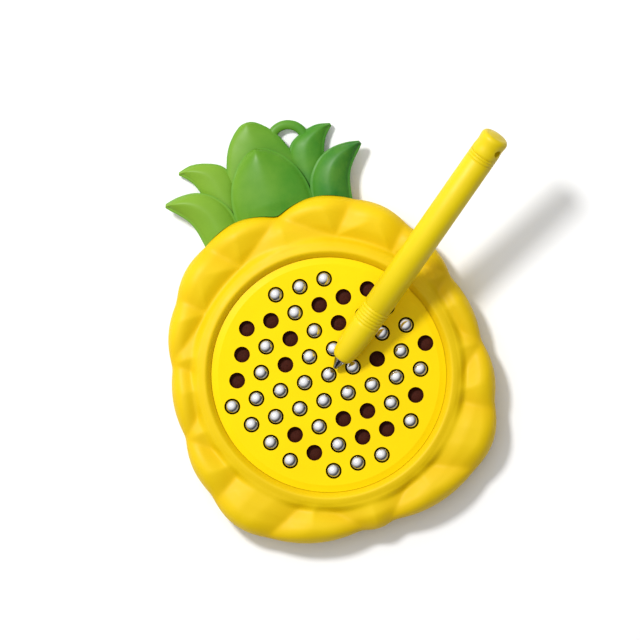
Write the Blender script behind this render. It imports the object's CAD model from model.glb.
"""Looks for the pineapple bead drawing board and its pen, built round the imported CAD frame.

Sizes are written in millimetres, as in the CAD, and turned into metres when a mesh is made.
"""

import math

import bmesh
import bpy
import numpy as np
from mathutils import Matrix, Vector


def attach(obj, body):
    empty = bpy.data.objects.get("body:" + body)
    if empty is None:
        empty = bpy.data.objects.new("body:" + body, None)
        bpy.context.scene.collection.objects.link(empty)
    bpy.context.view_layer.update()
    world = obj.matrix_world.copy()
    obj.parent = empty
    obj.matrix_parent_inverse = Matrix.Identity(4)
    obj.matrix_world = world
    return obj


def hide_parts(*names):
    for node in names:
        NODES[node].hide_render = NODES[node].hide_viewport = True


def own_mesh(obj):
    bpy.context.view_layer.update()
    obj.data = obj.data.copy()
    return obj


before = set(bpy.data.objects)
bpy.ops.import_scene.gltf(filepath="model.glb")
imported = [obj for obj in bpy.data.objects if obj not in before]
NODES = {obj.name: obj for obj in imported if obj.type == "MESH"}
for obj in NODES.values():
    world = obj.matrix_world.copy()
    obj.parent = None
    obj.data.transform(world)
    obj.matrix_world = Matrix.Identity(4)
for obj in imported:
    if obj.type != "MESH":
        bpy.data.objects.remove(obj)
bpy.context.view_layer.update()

MM = 0.001

# ---- sizes shared with the CAD ---------------------------------------------------------
SEAM_Z = 4.5
WALL = 1.8
FACE_Z = 10.5
CEILING_Z = 9.5
FLOOR_Z = 2.0
RIM_R = 34.2
RIM_Z = 11.7
QUILT_R = 35.9
QUILT_Z = 11.5
SIDE_ROLL = 4.5
SIDE_TOP = SEAM_Z + 2.5
CREASE_DEPTH = 1.6
CREASE_W = 6.5
CREASE_SOFT = 0.4
CREASE_POWER = 1.6
CROWN_Z = 1.6
LEAF_SPLIT_Z = 5.0
BEAD_R = 2.25
RAISED_Z = 9.15
PITCH_X = 7.0
PITCH_Y = 6.38
# Rows from the crown down: 1 is a raised bead and 0 a lowered one.
ROW_STATES = [
    [1, 1, 1],
    [0, 0, 1, 0, 0, 0],
    [0, 1, 0, 1, 0, 1, 1],
    [0, 1, 0, 1, 1, 1, 1, 1],
    [1, 1, 1, 1, 1, 1, 0, 1, 0],
    [1, 1, 1, 1, 1, 1, 1, 1],
    [1, 0, 1, 0, 0, 1, 0],
    [1, 0, 1, 0, 0, 1],
    [1, 1, 1],
]
# rows whose beads move together
GROUPED_ROWS = (0, 5, 8)
# (angle from the crown, radius) of each screw
SCREW_SPOTS = [(31, 39.4), (-31, 39.4), (131, 39.4), (-131, 39.4)]

# ---- small helpers ---------------------------------------------------------------------


def clamp01(t):
    return min(1.0, max(0.0, t))


def smooth(t):
    u = clamp01(t)
    return u * u * (3 - 2 * u)


def mix(a, b, t):
    return a + (b - a) * t


def polar(r, angle):
    """Point at a radius and an angle from the crown, clockwise seen from above."""
    return (r * math.sin(math.radians(angle)), r * math.cos(math.radians(angle)))


def srgb(r, g, b):
    """Linear colour of an 8-bit screen colour."""
    def linear(v):
        v /= 255
        return v / 12.92 if v <= 0.04045 else ((v + 0.055) / 1.055) ** 2.4
    return (linear(r), linear(g), linear(b), 1.0)


# ---- materials -------------------------------------------------------------------------


class Nodes:
    """Short names for the node calls that every material makes."""

    def __init__(self, name):
        self.material = bpy.data.materials.new(name)
        self.material.use_nodes = True
        self.tree = self.material.node_tree
        self.shader = self.tree.nodes["Principled BSDF"]
        self.coord = self.tree.nodes.new("ShaderNodeTexCoord")

    def link(self, source, target):
        self.tree.links.new(source, target)

    def noise(self, scale, detail=3.0, roughness=0.5, stretch=None):
        node = self.tree.nodes.new("ShaderNodeTexNoise")
        node.inputs["Scale"].default_value = scale
        node.inputs["Detail"].default_value = detail
        node.inputs["Roughness"].default_value = roughness
        source = self.coord.outputs["Object"]
        if stretch:
            mapping = self.tree.nodes.new("ShaderNodeMapping")
            mapping.inputs["Rotation"].default_value = stretch[0]
            mapping.inputs["Scale"].default_value = stretch[1]
            self.link(source, mapping.inputs["Vector"])
            source = mapping.outputs["Vector"]
        self.link(source, node.inputs["Vector"])
        return node.outputs["Fac"]

    def ramp(self, factor, stops):
        node = self.tree.nodes.new("ShaderNodeValToRGB")
        elements = node.color_ramp.elements
        while len(elements) < len(stops):
            elements.new(0.5)
        for element, (position, colour) in zip(elements, stops):
            element.position = position
            element.color = colour
        self.link(factor, node.inputs["Fac"])
        return node.outputs["Color"]

    def rescale(self, value, low, high, to_low, to_high):
        node = self.tree.nodes.new("ShaderNodeMapRange")
        node.inputs["From Min"].default_value = low
        node.inputs["From Max"].default_value = high
        node.inputs["To Min"].default_value = to_low
        node.inputs["To Max"].default_value = to_high
        self.link(value, node.inputs["Value"])
        return node.outputs["Result"]

    def blend(self, factor, first, second):
        node = self.tree.nodes.new("ShaderNodeMix")
        node.data_type = "RGBA"
        self.link(factor, node.inputs["Factor"])
        for socket, colour in ((node.inputs["A"], first), (node.inputs["B"], second)):
            if isinstance(colour, tuple):
                socket.default_value = colour
            else:
                self.link(colour, socket)
        return node.outputs["Result"]

    def bump(self, height, strength, distance, below=None):
        node = self.tree.nodes.new("ShaderNodeBump")
        node.inputs["Strength"].default_value = strength
        node.inputs["Distance"].default_value = distance
        self.link(height, node.inputs["Height"])
        if below:
            self.link(below, node.inputs["Normal"])
        return node.outputs["Normal"]

    def math(self, operation, first, second):
        node = self.tree.nodes.new("ShaderNodeMath")
        node.operation = operation
        for socket, value in ((node.inputs[0], first), (node.inputs[1], second)):
            if isinstance(value, float):
                socket.default_value = value
            else:
                self.link(value, socket)
        return node.outputs[0]

    def xyz(self):
        node = self.tree.nodes.new("ShaderNodeSeparateXYZ")
        self.link(self.coord.outputs["Object"], node.inputs["Vector"])
        return node.outputs["X"], node.outputs["Y"], node.outputs["Z"]

    def finish(self, colour, roughness, normal=None, **constants):
        self.link(colour, self.shader.inputs["Base Color"])
        self.link(roughness, self.shader.inputs["Roughness"])
        if normal:
            self.link(normal, self.shader.inputs["Normal"])
        for socket, value in constants.items():
            self.shader.inputs[socket.replace("_", " ")].default_value = value
        return self.material


def moulded_plastic(name, light, deep, rough, bump, gloss=0.5, attribute=None, tint=None):
    """Moulded plastic with a faint flow mottle, a fine spark-eroded grain and shallow ripple.

    Where attribute rises from 0 to 1 the colour leans to tint.
    """
    n = Nodes(name)
    mottle = n.rescale(n.noise(55, 4, 0.6), 0.35, 0.65, 0, 1)
    colour = n.blend(mottle, light, deep)
    if attribute:
        layer = n.tree.nodes.new("ShaderNodeAttribute")
        layer.attribute_name = attribute
        colour = n.blend(layer.outputs["Fac"], colour, tint)
    grain = n.noise(2600, 3, 0.6)
    roughness = n.rescale(n.noise(320, 3, 0.55), 0.3, 0.7, rough - 0.05, rough + 0.05)
    normal = n.bump(grain, bump, 0.00005, n.bump(n.noise(90, 2), 0.08, 0.0004))
    return n.finish(colour, roughness, normal, IOR=1.5, Specular_IOR_Level=gloss)


# in metres: every hole lies inside this radius, and the yellow skin lies above this height
HOLE_FIELD_R = 0.0302
CORE_TOP = 0.01046


def face_material(name):
    """Bright yellow face on a dark brown core, which shows in the walls of the holes."""
    n = Nodes(name)
    x, y, z = n.xyz()
    square = n.math("ADD", n.math("MULTIPLY", x, x), n.math("MULTIPLY", y, y))
    inside = n.math("LESS_THAN", n.math("SQRT", square, 0.0), HOLE_FIELD_R)
    core = n.math("MULTIPLY", inside, n.math("LESS_THAN", z, CORE_TOP))
    mottle = n.rescale(n.noise(55, 4, 0.6), 0.35, 0.65, 0, 1)
    colour = n.blend(mottle, srgb(245, 210, 0), srgb(242, 205, 0))
    colour = n.blend(core, colour, srgb(34, 16, 12))
    roughness = n.rescale(n.noise(320, 3, 0.55), 0.3, 0.7, 0.38, 0.46)
    normal = n.bump(n.noise(2600, 3, 0.6), 0.1, 0.00005, n.bump(n.noise(90, 2), 0.05, 0.0004))
    return n.finish(colour, roughness, normal, IOR=1.5, Specular_IOR_Level=0.08)


def leaf_material(name):
    """Green plastic, yellower towards the crown's upper left and bluer to its right."""
    n = Nodes(name)
    x, y, _ = n.xyz()
    place = n.math("SUBTRACT", x, n.math("MULTIPLY", y, 0.6))
    colour = n.ramp(
        n.rescale(place, -0.054, -0.008, 0, 1),
        [
            (0.0, srgb(118, 158, 42)),
            (0.14, srgb(112, 155, 40)),
            (0.32, srgb(86, 138, 27)),
            (0.6, srgb(68, 131, 30)),
            (0.8, srgb(52, 119, 30)),
            (1.0, srgb(30, 101, 32)),
        ],
    )
    layer = n.tree.nodes.new("ShaderNodeAttribute")
    layer.attribute_name = "edge"
    colour = n.blend(n.rescale(layer.outputs["Fac"], 0, 1, 0, 0.5), colour, srgb(70, 138, 50))
    mottle = n.rescale(n.noise(120, 4, 0.6), 0.35, 0.65, 0, 0.2)
    colour = n.blend(mottle, colour, srgb(130, 172, 60))
    roughness = n.rescale(n.noise(300, 3), 0.3, 0.7, 0.36, 0.46)
    normal = n.bump(n.noise(2400, 3, 0.6), 0.12, 0.00005, n.bump(n.noise(100, 2), 0.08, 0.0004))
    return n.finish(colour, roughness, normal, IOR=1.5, Specular_IOR_Level=0.22)


def metal(name, light, dark, rough, bump, stretch=None, grain=1400):
    """Steel with a fine wear pattern in its gloss."""
    n = Nodes(name)
    colour = n.blend(n.rescale(n.noise(500, 4), 0.3, 0.7, 0, 1), light, dark)
    wear = n.noise(grain, 4, 0.6, stretch)
    roughness = n.rescale(wear, 0.3, 0.7, rough - 0.04, rough + 0.05)
    return n.finish(colour, roughness, n.bump(wear, bump, 0.00004), Metallic=1.0)


def ball_steel(name):
    """Polished crown that the fingers touch, dulled by dark grease below the level of the face."""
    n = Nodes(name)
    normal = n.tree.nodes.new("ShaderNodeSeparateXYZ")
    n.link(n.coord.outputs["Normal"], normal.inputs["Vector"])
    bright = n.ramp(
        n.rescale(normal.outputs["Z"], 0.4, 0.9, 0, 1),
        [
            (0.0, srgb(12, 11, 12)),
            (0.3, srgb(30, 29, 31)),
            (0.44, srgb(104, 104, 108)),
            (0.56, srgb(168, 168, 173)),
            (0.76, srgb(246, 246, 249)),
        ],
    )
    colour = n.blend(n.rescale(n.noise(500, 4), 0.3, 0.7, 0, 0.2), bright, srgb(196, 196, 202))
    wear = n.noise(1400, 4, 0.6)
    roughness = n.rescale(wear, 0.3, 0.7, 0.17, 0.23)
    return n.finish(colour, roughness, n.bump(wear, 0.02, 0.00004), Metallic=1.0)


def foam(name, light, dark, rough):
    """Dark soft sheet with closed cells and a matt skin."""
    n = Nodes(name)
    cells = n.tree.nodes.new("ShaderNodeTexVoronoi")
    cells.inputs["Scale"].default_value = 2600
    n.link(n.coord.outputs["Object"], cells.inputs["Vector"])
    speck = n.rescale(cells.outputs["Distance"], 0.0, 0.6, 0, 1)
    colour = n.blend(speck, dark, light)
    colour = n.blend(n.rescale(n.noise(700, 3), 0.35, 0.65, 0, 0.5), colour, light)
    roughness = n.rescale(n.noise(900, 2), 0.3, 0.7, rough - 0.08, rough + 0.08)
    normal = n.bump(cells.outputs["Distance"], 0.35, 0.00006)
    return n.finish(colour, roughness, normal, IOR=1.45, Specular_IOR_Level=0.15)


BODY = moulded_plastic(
    "body_yellow_plastic", srgb(226, 192, 0), srgb(221, 185, 0), 0.5, 0.1, 0.2,
    "crease", srgb(221, 182, 0),
)
CASE_BACK = moulded_plastic(
    "case_back_plastic", srgb(226, 192, 0), srgb(221, 185, 0), 0.42, 0.3, 0.3,
)
FACE = face_material("face_yellow_plastic")
PEN = moulded_plastic(
    "pen_yellow_plastic", srgb(222, 197, 2), srgb(217, 190, 0), 0.45, 0.08, 0.3
)
LEAF = leaf_material("leaf_green_plastic")
BEAD = ball_steel("bead_polished_steel")
TIP = metal(
    "tip_turned_steel", srgb(158, 162, 174), srgb(112, 116, 127), 0.1, 0.08,
    ((0, math.radians(18), math.radians(-37)), (4, 1, 1)),
)
MAGNET = metal("magnet_plated", srgb(176, 178, 186), srgb(150, 152, 160), 0.3, 0.1)
SCREW = metal("screw_zinc_plated", srgb(200, 202, 206), srgb(170, 172, 178), 0.3, 0.15, grain=2600)
SHEET = foam("sheet_brown_foam", srgb(69, 25, 12), srgb(38, 11, 4), 0.7)
TRAY = moulded_plastic("tray_brown_plastic", srgb(66, 34, 26), srgb(52, 24, 18), 0.5, 0.2)

# ---- mesh helpers ----------------------------------------------------------------------


def add_piece(name, points, faces, material, body="board", crisp=40, layer=None):
    """A named mesh piece from points in mm. Edges sharper than crisp degrees stay crisp."""
    mesh = bpy.data.meshes.new(name)
    mesh.from_pydata([(x * MM, y * MM, z * MM) for x, y, z in points], [], faces)
    piece = bpy.data.objects.new(name, mesh)
    bpy.context.scene.collection.objects.link(piece)
    if layer:
        values = mesh.attributes.new(layer[0], "FLOAT", "POINT")
        values.data.foreach_set("value", layer[1])
    set_outward(mesh)
    mesh.materials.append(material)
    shade(piece, crisp)
    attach(piece, body)
    return piece


def set_outward(mesh):
    work = bmesh.new()
    work.from_mesh(mesh)
    bmesh.ops.remove_doubles(work, verts=work.verts, dist=1e-7)
    bmesh.ops.recalc_face_normals(work, faces=work.faces)
    work.to_mesh(mesh)
    work.free()


def shade(piece, crisp):
    piece.data.polygons.foreach_set("use_smooth", [True] * len(piece.data.polygons))
    piece.data.set_sharp_from_angle(angle=math.radians(crisp))


def loft(rings, closed=True, first_cap=False, last_cap=False):
    """Points and faces through rings with the same number of points each.

    closed joins the last ring to the first. A cap fills the first or last ring.
    """
    n = len(rings[0])
    points = [p for ring in rings for p in ring]
    count = len(rings) if closed else len(rings) - 1
    faces = []
    for j in range(count):
        a, b = j * n, ((j + 1) % len(rings)) * n
        for i in range(n):
            k = (i + 1) % n
            faces.append((a + i, a + k, b + k, b + i))
    if first_cap:
        faces.append(tuple(range(n)))
    if last_cap:
        faces.append(tuple((len(rings) - 1) * n + i for i in range(n)))
    return points, faces


def lathe(profile, segments=96):
    """Points and faces of a turned part from (radius, height) pairs. A radius of 0 is a tip."""
    rings = []
    for r, z in profile:
        r = max(r, 1e-6)
        turn = [2 * math.pi * i / segments for i in range(segments)]
        rings.append([(r * math.cos(t), r * math.sin(t), z) for t in turn])
    return loft(rings, closed=profile[0][0] > 0)


def cut(piece, cutters, operation="DIFFERENCE"):
    """Applies exact booleans with the cutters and removes them."""
    for cutter in cutters:
        modifier = piece.modifiers.new("cut", "BOOLEAN")
        modifier.operation = operation
        modifier.solver = "EXACT"
        modifier.object = cutter
    graph = bpy.context.evaluated_depsgraph_get()
    result = bpy.data.meshes.new_from_object(piece.evaluated_get(graph))
    piece.modifiers.clear()
    materials = list(piece.data.materials)
    old = piece.data
    piece.data = result
    bpy.data.meshes.remove(old)
    result.materials.clear()
    for material in materials:
        result.materials.append(material)
    for cutter in cutters:
        bpy.data.objects.remove(cutter)


def cutter_from(points, faces, place=None):
    mesh = bpy.data.meshes.new("cutter")
    mesh.from_pydata([(x * MM, y * MM, z * MM) for x, y, z in points], [], faces)
    set_outward(mesh)
    if place:
        mesh.transform(place)
    cutter = bpy.data.objects.new("cutter", mesh)
    bpy.context.scene.collection.objects.link(cutter)
    return cutter


# ---- outline and quilted surface -------------------------------------------------------
# Each scallop runs between two notches. A notch is (angle from the crown, radius),
# and the third number is how far the scallop swells beyond the line between them.
NOTCHES = [
    (0, 45.7, 1.9), (26, 48.95, 1.1), (46.5, 46.5, 0.8), (69.5, 43.1, 0.5), (95.5, 43.1, 0.85),
    (117.5, 46.3, 1.75), (141.5, 48, 0.65), (174, 43.8, 0.8), (186, 43.8, 0),
]
# Creases between the diamonds, on the +X half; the other half mirrors them.
CREASES = [
    ((0, 45.7), (40.2, 16.4)), ((21.4, 44.1), (12, 34)), ((33.3, 33.3), (26, 25.6)),
    ((40.2, 16.4), (33.5, 10.5)), ((42.9, -4.5), (35.3, 2.8)), ((42.9, -4.5), (34.5, -11.5)),
    ((40.8, -23.6), (30.8, -17.3)), ((30.2, -37.3), (16.8, -31.3)), ((3.6, -43.5), (12.4, -34.2)),
]


def fold(angle):
    """The angle from the crown on the +X half, as the outline is the same on both halves."""
    return abs((angle + 540) % 360 - 180)


def scallop(angle):
    for first, second in zip(NOTCHES, NOTCHES[1:]):
        if angle <= second[0]:
            t = (angle - first[0]) / (second[0] - first[0])
            return mix(first[1], second[1], t) + first[2] * math.sin(math.pi * t)
    return NOTCHES[-1][1]


NOTCH_SOFT = 1.4


def outline_r(angle):
    """Radius of the body's outline, with its notches rounded over a few degrees."""
    side = scallop(fold(angle - NOTCH_SOFT)) + scallop(fold(angle + NOTCH_SOFT))
    return (side + 2 * scallop(fold(angle))) / 4


def crease_share(x, y):
    """1 in the middle of a crease, falling to 0 at its edge, for arrays of points."""
    nearest = np.full(np.shape(x), 1e9)
    for start, end in CREASES:
        ax, ay = start
        dx, dy = end[0] - ax, end[1] - ay
        px, py = np.abs(x) - ax, y - ay
        t = np.clip((px * dx + py * dy) / (dx * dx + dy * dy), 0, 1)
        nearest = np.minimum(nearest, np.hypot(px - t * dx, py - t * dy))
    d = np.sqrt(nearest ** 2 + CREASE_SOFT ** 2) - CREASE_SOFT
    return (1 - np.clip(d / CREASE_W, 0, 1)) ** CREASE_POWER


def smooth_array(t):
    u = np.clip(t, 0, 1)
    return u * u * (3 - 2 * u)


RIM_PROFILE = [
    (32.42, 9.5), (32.42, 9.95), (32.5, 10.12), (32.8, 10.5), (33.15, 10.92), (33.5, 11.3),
    (33.75, 11.52), (33.98, 11.65), (34.2, 11.7), (34.5, 11.67), (34.8, 11.6), (35.2, 11.48),
    (35.6, 11.36),
]
QUILT_STEPS = 40
SHELL_ANGLES = 432


def build_front_shell():
    """Rings over the rim and the quilt, down the side and back along the inside."""
    angles = [360 * i / SHELL_ANGLES for i in range(SHELL_ANGLES)]
    sine = np.array([math.sin(math.radians(a)) for a in angles])
    cosine = np.array([math.cos(math.radians(a)) for a in angles])
    out = np.array([outline_r(a) for a in angles])
    ones = np.ones(SHELL_ANGLES)
    rings = []
    for r, z in RIM_PROFILE:
        shade_share = 0.6 * clamp01((RIM_Z - 0.1 - z) / 0.9) if r < RIM_R else 0
        rings.append((r * ones, z * ones, shade_share * ones))
    for i in range(QUILT_STEPS):
        t = i / (QUILT_STEPS - 1)
        r = QUILT_R + (math.sin(math.pi / 2 * t) * 0.55 + t * 0.45) * (out - QUILT_R)
        edge = np.clip(1 - (out - r) / SIDE_ROLL, 0, 1)
        crest = RIM_Z - 0.42 - 0.35 * smooth_array((r - QUILT_R) / 2)
        crest += (QUILT_Z - RIM_Z + 0.77) * smooth_array((r - QUILT_R - 1.3) / 4.5)
        share = crease_share(r * sine, r * cosine)
        share *= 0.1 + 0.9 * smooth_array((r - QUILT_R) / 2.5)
        top = crest - CREASE_DEPTH * share - SIDE_TOP
        z = SIDE_TOP + top * np.sqrt(np.maximum(0, 1 - edge * edge))
        rings.append((r, z, share * smooth_array((r - QUILT_R) / 3) * (z > SIDE_TOP + 0.3)))
    for inset, z in ((0, SEAM_Z + 0.18), (0.06, SEAM_Z + 0.05), (0.2, SEAM_Z)):
        rings.append((out - inset, z * ones, 0 * ones))
    for i in range(5):
        t = math.pi / 2 * i / 5
        r = out - WALL - (1 - math.cos(t)) * 5
        rings.append((r, (SEAM_Z + (CEILING_Z - SEAM_Z) * math.sin(t)) * ones, 0 * ones))
    rings.append(((QUILT_R + 0.4) * ones, CEILING_Z * ones, 0 * ones))
    points, faces = loft([list(zip(r * sine, r * cosine, z)) for r, z, _ in rings])
    shares = [value for ring in rings for value in ring[2]]
    shell = add_piece("body_shell", points, faces, BODY, layer=("crease", shares))
    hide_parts("front_shell")


def outline_ring(inset, z, count=SHELL_ANGLES):
    ring = []
    for i in range(count):
        angle = 360 * i / count
        ring.append(polar(outline_r(angle) - inset, angle) + (z,))
    return ring


def disc_ring(r, z, count=SHELL_ANGLES):
    return [polar(r, 360 * i / count) + (z,) for i in range(count)]


EDGE_ROLL = 1.9
RING_OUT_R, RING_IN_R, RING_TOP_Z = 36.0, 34.7, 5.0
BOSS_R, WELL_R, SCREW_R = 3.3, 2.7, 1.4
POST_R, POST_TOP_Z = 1.6, 4.3


def build_rear_cover():
    """Back dish with a rolled edge, four screw wells, the locating ring and the crown posts."""
    rings = []
    for i in range(9):
        t = math.pi / 2 * i / 8
        rings.append(outline_ring(EDGE_ROLL * (1 - math.sin(t)), EDGE_ROLL * (1 - math.cos(t))))
    rings.append(outline_ring(0, SEAM_Z - 0.18))
    rings.append(outline_ring(0.06, SEAM_Z - 0.05))
    rings.append(outline_ring(0.2, SEAM_Z))
    rings.append(outline_ring(WALL, SEAM_Z))
    rings.append(outline_ring(WALL, FLOOR_Z))
    rings.append(disc_ring(RING_OUT_R, FLOOR_Z))
    rings.append(disc_ring(RING_OUT_R, RING_TOP_Z))
    rings.append(disc_ring(RING_IN_R, RING_TOP_Z))
    rings.append(disc_ring(RING_IN_R, FLOOR_Z))
    points, faces = loft(rings, closed=False, first_cap=True, last_cap=True)
    cover = add_piece("back_cover", points, faces, CASE_BACK)
    bosses, wells = [], []
    for angle, r in SCREW_SPOTS:
        x, y = polar(r, angle)
        boss, faces = lathe([(0, 1), (BOSS_R, 1), (BOSS_R, SEAM_Z), (0, SEAM_Z)], 64)
        bosses.append(cutter_from([(px + x, py + y, pz) for px, py, pz in boss], faces))
        # 60 sides, so that its corners miss the 64 radial edges of the boss's top
        well, faces = lathe([
            (0, -1), (3.5, -1), (WELL_R, 0.35), (WELL_R, FLOOR_Z), (SCREW_R, FLOOR_Z), (SCREW_R, 6),
            (0, 6),
        ], 60)
        wells.append(cutter_from([(px + x, py + y, pz) for px, py, pz in well], faces))
    for side in (-1, 1):
        post, faces = lathe([(0, 1.5), (POST_R, 1.5), (POST_R, POST_TOP_Z), (0, POST_TOP_Z)], 48)
        bosses.append(cutter_from([(px + side * 8, py + 41, pz) for px, py, pz in post], faces))
    cut(cover, bosses, "UNION")
    cut(cover, wells)
    shade(cover, 35)
    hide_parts("rear_cover")


# ---- crown -----------------------------------------------------------------------------


def catmull(points, i, t):
    """Place on a smooth curve through the points, a share t of the way from point i to the next."""
    n = len(points)
    a, b = Vector(points[max(0, i - 1)]), Vector(points[i])
    c, d = Vector(points[min(n - 1, i + 1)]), Vector(points[min(n - 1, i + 2)])
    return 0.5 * (
        2 * b + (c - a) * t + (2 * a - 5 * b + 4 * c - d) * t ** 2 + (3 * b - a - 3 * c + d) * t ** 3
    )


def along(points, u):
    """Place at a share u of the way along a smooth curve through the points."""
    s = min(u, 0.9999) * (len(points) - 1)
    return catmull(points, int(s), s - int(s))


# Leaf edges from the base to the tip. A leaf on the right is a mirrored leaf from the left.
FRONT_EDGE = [
    (-10.9, 43), (-11.1, 48), (-11.05, 51), (-10.6, 54), (-9.4, 57.5), (-7.6, 60.5),
    (-5.3, 63.1), (-2.7, 64.9), (-0.5, 65.6),
]
BACK_EDGE = [
    (-10.5, 44.5), (-10.9, 50), (-10.6, 55), (-9.9, 60), (-8.9, 63.4), (-7.8, 66.3),
    (-6.2, 69), (-4, 71.4), (-1.9, 72.9), (-0.4, 73.3),
]
UPPER_OUTER = [
    (-16.4, 46), (-17, 50), (-17.4, 54), (-17.9, 58.2), (-18.8, 61), (-19.9, 62.9),
    (-21.1, 64.2), (-22.2, 65.2),
]
UPPER_INNER = [
    (-6, 46), (-6.4, 50), (-7, 54.5), (-8, 60), (-10, 63.9), (-14, 66), (-18.2, 66.8), (-22, 66),
]
LOWER_OUTER = [
    (-21.2, 42.5), (-21.6, 45.5), (-22.3, 49), (-23.3, 51.6), (-24.5, 53.4), (-25.9, 55),
    (-27.3, 56.4), (-28.5, 57.8),
]
LOWER_INNER = [
    (-9.5, 42.5), (-10.6, 47), (-11.4, 51.2), (-12.9, 54.4), (-16, 57.6), (-20, 59.3),
    (-24.4, 59.5), (-28.1, 58.8),
]


def mirrored(points):
    return [(-x, y) for x, y in points]


LEAF_ROWS = 56
LEAF_COLS = 36
BODY_GAP = 0.02
# keeps the flat back of a side leaf out of the plane of the middle leaf's
SIDE_LIFT = 0.03


def build_leaf(name, left, right, z, edge, ridge):
    """A leaf with a flat back, a thin bevelled border and two halves that meet in a ridge."""

    def at(u, v):
        a, b = along(left, u), along(right, u)
        return a + (b - a) * (v + 1) / 2

    def clear_of_body(u, v):
        p = at(u, v)
        return p.length > outline_r(math.degrees(math.atan2(p.x, p.y))) + BODY_GAP

    def start(v):
        low, high = 0.0, 0.9
        if clear_of_body(low, v):
            return low
        for _ in range(24):
            middle = (low + high) / 2
            if clear_of_body(middle, v):
                high = middle
            else:
                low = middle
        return high

    def height(u, v):
        tip = math.sqrt(max(0.0, 1 - u ** 3))
        width = (along(right, u) - along(left, u)).length
        border = min(0.5, 1.5 / max(width, 0.1))
        across = clamp01((abs(v) - (1 - border)) / border)
        w = clamp01(abs(v) / (1 - border))
        dome = math.sqrt(max(0.0, 1 - w ** 2.2))
        crest = 1.03 - math.sqrt(w * w + 0.0609)
        swell = 0.35 * dome + 0.65 * crest
        rim = edge * (0.4 + 0.6 * tip) * (1 - 0.2 * across ** 2)
        root = 0.7 + 0.3 * smooth(u / 0.2)
        return rim + (ridge - edge) * tip * root * swell, across

    columns = []
    shares = []
    for k in range(LEAF_COLS + 1):
        v = -math.cos(math.pi * k / LEAF_COLS)
        first = start(v)
        column = []
        for i in range(LEAF_ROWS + 1):
            s = i / LEAF_ROWS
            u = first + (1 - first) * (1 - (1 - s) ** 1.25)
            p = at(u, v)
            h, across = height(u, v)
            column.append((p.x, p.y, z + h))
            shares.append(across)
        columns.append(column)
    top = [p for column in columns for p in column]
    base = [(x, y, z) for x, y, _ in top]
    n = LEAF_ROWS + 1
    total = len(top)
    faces = []
    for k in range(LEAF_COLS):
        for i in range(LEAF_ROWS):
            c = k * n + i
            faces.append((c, c + 1, c + n + 1, c + n))
            faces.append((total + c, total + c + n, total + c + n + 1, total + c + 1))
    border = list(range(n))
    border += [k * n + LEAF_ROWS for k in range(1, LEAF_COLS + 1)]
    border += [LEAF_COLS * n + i for i in range(LEAF_ROWS - 1, -1, -1)]
    border += [k * n for k in range(LEAF_COLS - 1, 0, -1)]
    for p, q in zip(border, border[1:] + border[:1]):
        faces.append((p, q, total + q, total + p))
    layer = ("edge", shares + [0.0] * total)
    return add_piece(name, top + base, faces, LEAF, crisp=50, layer=layer)


def build_crown():
    upper, lower = (UPPER_OUTER, UPPER_INNER), (LOWER_OUTER, LOWER_INNER)
    front = build_leaf("leaf_front", FRONT_EDGE, mirrored(FRONT_EDGE), LEAF_SPLIT_Z, 1.2, 4.6)
    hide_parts("crown_front")
    z = LEAF_SPLIT_Z + SIDE_LIFT
    build_leaf("leaf_lower_left", *lower, z, 1.0, 3.4)
    build_leaf("leaf_lower_right", mirrored(lower[1]), mirrored(lower[0]), z, 1.0, 3.4)
    back = build_leaf("leaf_back", BACK_EDGE, mirrored(BACK_EDGE), CROWN_Z, 1.9, 3.38)
    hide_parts("crown_back")
    z = CROWN_Z + SIDE_LIFT
    build_leaf("leaf_upper_left", *upper, z, 1.7, 3.3)
    build_leaf("leaf_upper_right", mirrored(upper[1]), mirrored(upper[0]), z, 1.7, 3.3)
    build_hang_loop()


def build_hang_loop():
    """Oval-section loop whose two ends sink into the back leaf and the upper leaf."""
    centre = (9.3, 64.4)
    middle_r, half_w = 4.975, 1.325
    middle_z, half_h = 2.45, 0.85
    start, end = -88.0, 100.0
    steps, sides = 60, 28
    rings = []
    for i in range(steps + 1):
        a = math.radians(mix(start, end, i / steps))
        ring = []
        for k in range(sides):
            b = 2 * math.pi * k / sides
            r = middle_r + half_w * math.cos(b)
            z = middle_z + half_h * math.sin(b)
            ring.append((centre[0] + r * math.sin(a), centre[1] + r * math.cos(a), z))
        rings.append(ring)
    points, faces = loft(rings, closed=False, first_cap=True, last_cap=True)
    layer = ("edge", [0.25] * len(points))
    add_piece("hang_loop_ring", points, faces, LEAF, crisp=60, layer=layer)


# ---- pen -------------------------------------------------------------------------------
PEN_R = 4.0
PEN_LEN = 81.8
NOSE_AT = 3.5
CAP_AT = 75.0
CORD_HOLE_AT = 77.8
CORD_HOLE_TURN = -35.0
CORD_HOLE_R, DISH_R = 1.0, 1.5
GROOVE_DEPTH, GROOVE_HALF = 0.2, 0.24
SHANK_R, MAGNET_R, BORE_R = 1.33, 2.05, 2.4
# The pen is made along +Z from its tip, then laid over the face.
PEN_PLACE = (
    Matrix.Translation((2 * MM, 1.2 * MM, 12.6 * MM))
    @ Matrix.Rotation(math.radians(37), 4, "Z")
    @ Matrix.Rotation(math.radians(72), 4, "Y")
)


def rounded_groove(z):
    """Profile points of a soft groove whose middle is at height z."""
    points = []
    for i in range(9):
        t = i / 8
        r = PEN_R - GROOVE_DEPTH * math.sin(math.pi * t) ** 1.5
        points.append((r, z - GROOVE_HALF + 2 * GROOVE_HALF * t))
    return points


def place_pen_piece(name, points, faces, material, crisp):
    piece = add_piece(name, points, faces, material, body="pen", crisp=crisp)
    piece.data.transform(PEN_PLACE)
    return piece


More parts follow.
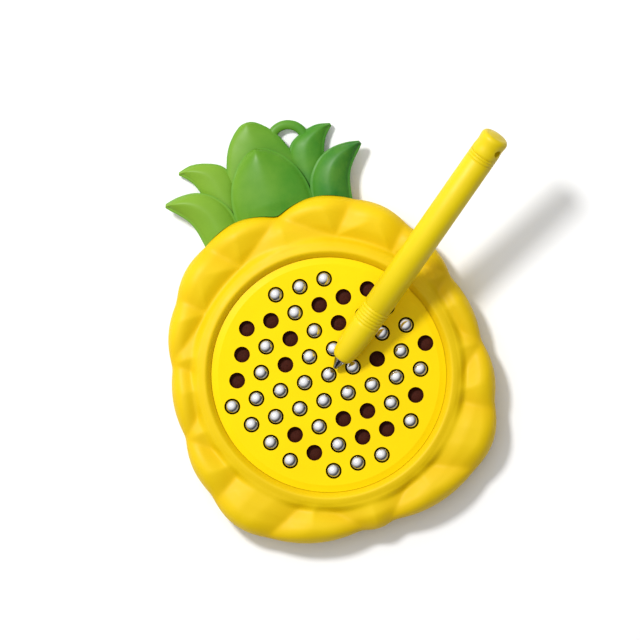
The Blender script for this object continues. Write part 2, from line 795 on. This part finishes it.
def nose_r(z):
    """Barrel radius at a height above the nose's front face."""
    knots = [(0, 2.2), (0.25, 2.6), (0.9, 2.95), (2.4, 3.3), (4.6, 3.62), (7, 3.84),
             (9.6, 3.95), (12, 4.0)]
    for i in range(len(knots) - 1):
        if z <= knots[i + 1][0]:
            t = (z - knots[i][0]) / (knots[i + 1][0] - knots[i][0])
            return catmull(knots, i, t)[1]
    return PEN_R


def build_pen():
    """Barrel with a nose, grooves and bore, and the cap with its dished cord hole."""
    profile = [(1.45, NOSE_AT), (2.0, NOSE_AT)]
    for i in range(41):
        z = 12 * (i / 40) ** 1.8
        profile.append((min(PEN_R, nose_r(z)), NOSE_AT + z))
    for g in range(6):
        profile += rounded_groove(16.4 + g)
    for g in range(2):
        profile += rounded_groove(73.1 + g * 0.95)
    profile += [(PEN_R, CAP_AT - 0.22), (PEN_R - 0.06, CAP_AT - 0.08), (PEN_R - 0.22, CAP_AT)]
    profile += [(BORE_R, CAP_AT), (BORE_R, NOSE_AT + 18.9)]
    profile += [(MAGNET_R, NOSE_AT + 18.9), (MAGNET_R, NOSE_AT + 5)]
    profile += [(SHANK_R, NOSE_AT + 5), (SHANK_R, NOSE_AT + 0.1)]
    points, faces = lathe(profile)
    barrel = place_pen_piece("pen_body", points, faces, PEN, 50)
    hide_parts("pen_barrel")

    cap_profile = [(0, CAP_AT - 8), (2.2, CAP_AT - 8), (2.37, CAP_AT - 7.6), (2.37, CAP_AT + 0.04)]
    cap_profile += [(PEN_R - 0.24, CAP_AT + 0.04), (PEN_R - 0.07, CAP_AT + 0.1)]
    cap_profile += [(PEN_R, CAP_AT + 0.28)]
    for i in range(17):
        t = i / 16
        neck = 0.16 * math.sin(math.pi * t) ** 2
        cap_profile.append((PEN_R - neck, CAP_AT + 1.0 + 4.0 * t))
    for i in range(13):
        t = math.pi / 2 * i / 12
        cap_profile.append((PEN_R - 1.3 * (1 - math.cos(t)), PEN_LEN - 1.7 + 1.3 * math.sin(t)))
    for i in range(6):
        t = i / 5
        cap_profile.append(((PEN_R - 1.3) * 0.9 * (1 - t), PEN_LEN - 0.4 * (1 - t * (2 - t))))
    points, faces = lathe(cap_profile)
    cap = place_pen_piece("pen_cap", points, faces, PEN, 50)
    hole = [(0, -10), (CORD_HOLE_R, -10), (CORD_HOLE_R, 10), (0, 10)]
    hole_place = (
        PEN_PLACE
        @ Matrix.Translation((0, 0, CORD_HOLE_AT * MM))
        @ Matrix.Rotation(math.radians(CORD_HOLE_TURN), 4, "Z")
        @ Matrix.Rotation(math.radians(90), 4, "X")
    )
    cutters = [cutter_from(*lathe(hole, 40), hole_place)]
    for side in (-1, 1):
        ball = []
        for i in range(25):
            t = math.pi * i / 24
            ball.append((DISH_R * math.sin(t), side * (PEN_R + 0.9) - DISH_R * math.cos(t)))
        cutters.append(cutter_from(*lathe(ball, 48), hole_place))
    cut(cap, cutters)
    shade(cap, 40)
    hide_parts("pen_end_cap")


# ---- soft flaps over and under the beads -----------------------------------------------
FLAP_R = 2.34
FLAP_T = 0.14
FLAP_RINGS = 9
FLAP_SEGMENTS = 32
CUP_R = 2.15


def bead_place(r, k):
    return (k - (len(ROW_STATES[r]) - 1) / 2) * PITCH_X, (4 - r) * PITCH_Y


def flap_points(x, y, height):
    """Points and faces of a round flap whose upper side follows height(radius)."""
    rings = []
    outward = [FLAP_R * i / FLAP_RINGS for i in range(FLAP_RINGS + 1)]
    for r in outward:
        rings.append((r, height(r)))
    for r in reversed(outward):
        rings.append((r, height(r) - FLAP_T))
    points, faces = lathe(rings, FLAP_SEGMENTS)
    return [(px + x, py + y, pz) for px, py, pz in points], faces


def closed_flap_height(r):
    return 8.72 - 0.5 * (r / FLAP_R) ** 3


def cupped_flap_height(r):
    """Just under the raised bead, and level with the sheet at the edge."""
    reach = BEAD_R + 0.1
    under = RAISED_Z - math.sqrt(max(0.0, reach ** 2 - min(r, CUP_R) ** 2))
    return under if r < CUP_R else mix(under, 8.45, (r - CUP_R) / (FLAP_R - CUP_R))


def build_flaps():
    """The retaining sheet's flaps: closed over each lowered bead, cupped under each raised one."""
    for r, states in enumerate(ROW_STATES):
        row_points, row_faces = [], []
        for k, raised in enumerate(states):
            x, y = bead_place(r, k)
            height = cupped_flap_height if raised else closed_flap_height
            points, faces = flap_points(x, y, height)
            if r in GROUPED_ROWS:
                shift = len(row_points)
                row_points += points
                row_faces += [tuple(i + shift for i in f) for f in faces]
                continue
            place = f"{r + 1}_{k + 1}"
            flap = add_piece(f"sheet_flap_{place}", points, faces, SHEET, crisp=50)
            squash_flap(flap, raised, x, y)
        if r in GROUPED_ROWS:
            name = f"sheet_flaps_row_{r + 1}"
            flap = add_piece(name, row_points, row_faces, SHEET, crisp=50)
            squash_flap(flap, True, 0, 0)


def squash_flap(flap, raised, x, y):
    """A cupped flap springs back flat as its bead goes down; a closed one folds aside."""
    if raised:
        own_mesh(flap)
    else:
        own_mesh(flap)


# ---- stage, light and camera -----------------------------------------------------------


def build_stage():
    """White floor, a hair below the back so that the two never fight."""
    mesh = bpy.data.meshes.new("floor")
    side, z = 1.5, -0.00005
    corners = [(-side, -side, z), (side, -side, z), (side, side, z), (-side, side, z)]
    mesh.from_pydata(corners, [], [(0, 1, 2, 3)])
    floor = bpy.data.objects.new("floor", mesh)
    bpy.context.scene.collection.objects.link(floor)
    n = Nodes("floor_pale")
    patches = n.rescale(n.noise(6, 3), 0.3, 0.7, 0, 1)
    colour = n.blend(patches, srgb(250, 250, 250), srgb(246, 246, 247))
    n.finish(colour, n.rescale(n.noise(40, 2), 0.3, 0.7, 0.75, 0.85))
    mesh.materials.append(n.material)


# Direction of the key light: its place round the board, and its height above the floor
KEY_SIDE = Vector((-0.451, 0.892, 0))
KEY_ELEVATION = math.radians(56)
KEY = KEY_SIDE * math.cos(KEY_ELEVATION) + Vector((0, 0, math.sin(KEY_ELEVATION)))
# brightness of the studio: (0 opposite the key to 1 towards it, grey)
STUDIO = [
    (0.0, 0.75), (0.25, 0.75), (0.33, 0.25), (0.43, 0.04), (0.55, 0.05), (0.7, 0.45), (0.84, 0.9),
    (1.0, 1.0),
]


def add_key():
    light = bpy.data.lights.new("key", "AREA")
    light.shape = "DISK"
    light.size = 0.12
    light.energy = 3.75
    lamp = bpy.data.objects.new("key", light)
    aim = KEY.normalized()
    lamp.location = Vector((0, 0.01, 0.01)) + aim * 0.7
    lamp.rotation_mode = "QUATERNION"
    lamp.rotation_quaternion = aim.to_track_quat("Z", "Y")
    bpy.context.scene.collection.objects.link(lamp)


def build_light():
    """A soft key at the upper left, in a studio that is darkest square to the key."""
    world = bpy.data.worlds.new("studio")
    bpy.context.scene.world = world
    world.use_nodes = True
    tree = world.node_tree
    coord = tree.nodes.new("ShaderNodeTexCoord")
    towards = tree.nodes.new("ShaderNodeVectorMath")
    towards.operation = "DOT_PRODUCT"
    towards.inputs[1].default_value = KEY
    share = tree.nodes.new("ShaderNodeMapRange")
    share.inputs["From Min"].default_value = -1
    ramp = tree.nodes.new("ShaderNodeValToRGB")
    elements = ramp.color_ramp.elements
    while len(elements) < len(STUDIO):
        elements.new(0.5)
    for element, (position, grey) in zip(elements, STUDIO):
        element.position = position
        element.color = (grey, grey, grey, 1)
    background = tree.nodes["Background"]
    background.inputs["Strength"].default_value = 0.95
    tree.links.new(coord.outputs["Generated"], towards.inputs[0])
    tree.links.new(towards.outputs["Value"], share.inputs["Value"])
    tree.links.new(share.outputs["Result"], ramp.inputs["Fac"])
    tree.links.new(ramp.outputs["Color"], background.inputs["Color"])
    add_key()


def build_camera():
    """Straight down on the board, turned as the board is turned, through a long lens."""
    distance, view_width = 2.5, 0.1763
    data = bpy.data.cameras.new("camera")
    data.lens = 36 * distance / view_width
    data.clip_start, data.clip_end = 0.1, 10
    camera = bpy.data.objects.new("camera", data)
    camera.location = (2.4 * MM, 15.1 * MM, FACE_Z * MM + distance)
    camera.rotation_euler = (0, 0, math.radians(-18.2))
    bpy.context.scene.collection.objects.link(camera)
    bpy.context.scene.camera = camera
    bpy.context.scene.view_settings.view_transform = "Standard"


def finish_cad_nodes():
    """Better materials on the CAD nodes that stay."""
    looks = {
        "shell_bosses": BODY, "face_plate": FACE, "retaining_sheet": SHEET, "bead_tray": TRAY,
        "case_screws": SCREW, "pen_tip": TIP, "pen_magnet": MAGNET,
    }
    for name, node in NODES.items():
        if name.startswith("bead") and name != "bead_tray":
            looks[name] = BEAD
        if name in looks:
            for slot in node.material_slots:
                slot.material = looks[name]


finish_cad_nodes()
build_front_shell()
build_rear_cover()
build_crown()
build_pen()
build_flaps()
build_stage()
build_light()
build_camera()
